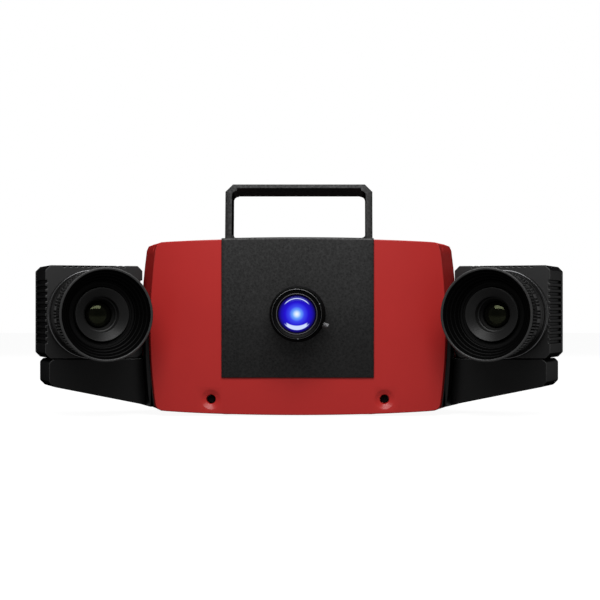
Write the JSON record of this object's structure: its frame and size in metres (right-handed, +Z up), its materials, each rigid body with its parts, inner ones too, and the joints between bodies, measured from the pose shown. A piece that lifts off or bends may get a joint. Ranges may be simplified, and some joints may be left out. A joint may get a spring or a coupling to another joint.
{
  "type": "three-d scanner",
  "caption": "Stereo structured-light scanner: a red projector body with a black centre panel and carrying handle, and toed-in camera units on side arms",
  "frame": {"origin": "bottom centre of the bounding box, on the surface that the base plate rests on", "axes": "+X to the viewer's right along the two cameras, +Y from the lenses to the back, +Z up"},
  "size_m": [0.5516, 0.208, 0.2368],
  "materials": {
    "red_paint": "satin paint",
    "black_powder_coat": "leathery powder coat",
    "black_anodised": "black anodised",
    "black_plastic": "matte moulded",
    "bare_aluminium": "milled",
    "zinc_steel": "bright zinc",
    "circuit_board": "solder mask",
    "coated_glass": "polished, coated",
    "blue_glass": "polished, lit from behind"
  },
  "bodies": {
    "scanner_body": {"front_cover": "red_paint", "body_shell": "red_paint", "front_panel": "black_powder_coat", "handle": "black_powder_coat", "rear_panel": "black_powder_coat", "chassis": "bare_aluminium", "base_plate": "black_anodised", "projector_flange": "black_anodised", "projector_engine": "bare_aluminium", "heat_sink": "bare_aluminium", "fan_frame": "black_plastic", "power_port": "zinc_steel", "network_port": "zinc_steel", "sync_port": "zinc_steel", "switch_bezel": "black_plastic", "control_board": "circuit_board", "power_supply": "bare_aluminium", "cover_screw_left": "zinc_steel", "handle_screw_left": "zinc_steel", "cover_screw_right": "zinc_steel", "handle_screw_right": "zinc_steel", "left_arm": "black_anodised", "right_arm": "black_anodised"},
    "projector_focus": {"projector_focus_ring": "black_anodised"},
    "projector_lock": {"projector_lock_screw": "zinc_steel"},
    "projector_optics": {"projector_tube": "black_anodised", "projector_glass": "blue_glass"},
    "fan": {"fan_rotor": "black_plastic"},
    "rocker": {"power_rocker": "black_plastic"},
    "left_camera": {"left_camera_housing": "black_anodised", "left_camera_back": "black_anodised", "left_sensor_board": "circuit_board", "left_lens_mount": "black_anodised", "left_lens_barrel": "black_anodised", "left_lens_hood": "black_anodised", "left_swivel_bolt": "zinc_steel"},
    "left_iris": {"left_iris_ring": "black_anodised"},
    "left_focus": {"left_focus_ring": "black_anodised"},
    "left_optics": {"left_lens_cell": "black_anodised", "left_lens_glass": "coated_glass"},
    "right_camera": {"right_camera_housing": "black_anodised", "right_camera_back": "black_anodised", "right_sensor_board": "circuit_board", "right_lens_mount": "black_anodised", "right_lens_barrel": "black_anodised", "right_lens_hood": "black_anodised", "right_swivel_bolt": "zinc_steel"},
    "right_iris": {"right_iris_ring": "black_anodised"},
    "right_focus": {"right_focus_ring": "black_anodised"},
    "right_optics": {"right_lens_cell": "black_anodised", "right_lens_glass": "coated_glass"}
  },
  "joints": [
    {"name": "left_camera_swivel", "type": "hinge", "parent": "scanner_body", "child": "left_camera", "pos_m": [-0.218, 0.01804, 0.057], "axis": [0, 0, 1], "range_deg": [-8, 6]},
    {"name": "left_iris_turn", "type": "hinge", "parent": "left_camera", "child": "left_iris", "pos_m": [-0.20624, -0.0245, 0.1018], "axis": [0.342, -0.9397, 0], "range_deg": [0, 60]},
    {"name": "left_focus_turn", "type": "hinge", "parent": "left_camera", "child": "left_focus", "pos_m": [-0.19974, -0.04235, 0.1018], "axis": [0.342, -0.9397, 0], "range_deg": [0, 120]},
    {"name": "left_optics_slide", "type": "slide", "parent": "left_camera", "child": "left_optics", "axis": [0.342, -0.9397, 0], "range_m": [0, 0.006]},
    {"name": "right_camera_swivel", "type": "hinge", "parent": "scanner_body", "child": "right_camera", "pos_m": [0.218, 0.01804, 0.057], "axis": [0, 0, -1], "range_deg": [-8, 6]},
    {"name": "right_iris_turn", "type": "hinge", "parent": "right_camera", "child": "right_iris", "pos_m": [0.20624, -0.0245, 0.1018], "axis": [-0.342, -0.9397, 0], "range_deg": [0, 60]},
    {"name": "right_focus_turn", "type": "hinge", "parent": "right_camera", "child": "right_focus", "pos_m": [0.19974, -0.04235, 0.1018], "axis": [-0.342, -0.9397, 0], "range_deg": [0, 120]},
    {"name": "right_optics_slide", "type": "slide", "parent": "right_camera", "child": "right_optics", "axis": [-0.342, -0.9397, 0], "range_m": [0, 0.006]},
    {"name": "projector_focus_turn", "type": "hinge", "parent": "scanner_body", "child": "projector_focus", "pos_m": [0, -0.05196, 0.1023], "axis": [0, -1, 0], "range_deg": [0, 90]},
    {"name": "projector_optics_slide", "type": "slide", "parent": "scanner_body", "child": "projector_optics", "axis": [0, -1, 0], "range_m": [0, 0.005]},
    {"name": "projector_lock_turn", "type": "hinge", "parent": "projector_focus", "child": "projector_lock", "pos_m": [0.02503, -0.05196, 0.09219], "axis": [0.9272, 0, -0.3746], "range_deg": [0, 180]},
    {"name": "fan_spin", "type": "hinge", "parent": "scanner_body", "child": "fan", "pos_m": [0, 0.08904, 0.1023], "axis": [0, -1, 0], "continuous": true},
    {"name": "power_rocker_tilt", "type": "hinge", "parent": "scanner_body", "child": "rocker", "pos_m": [0.084, 0.09995, 0.058], "axis": [1, 0, 0], "range_deg": [0, 24]}
  ],
  "couplings": [
    {"joint": "left_optics_slide", "follows": "left_focus_turn", "m_per_rad": 0.0028648},
    {"joint": "right_optics_slide", "follows": "right_focus_turn", "m_per_rad": 0.0028648},
    {"joint": "projector_optics_slide", "follows": "projector_focus_turn", "m_per_rad": 0.0031831}
  ]
}
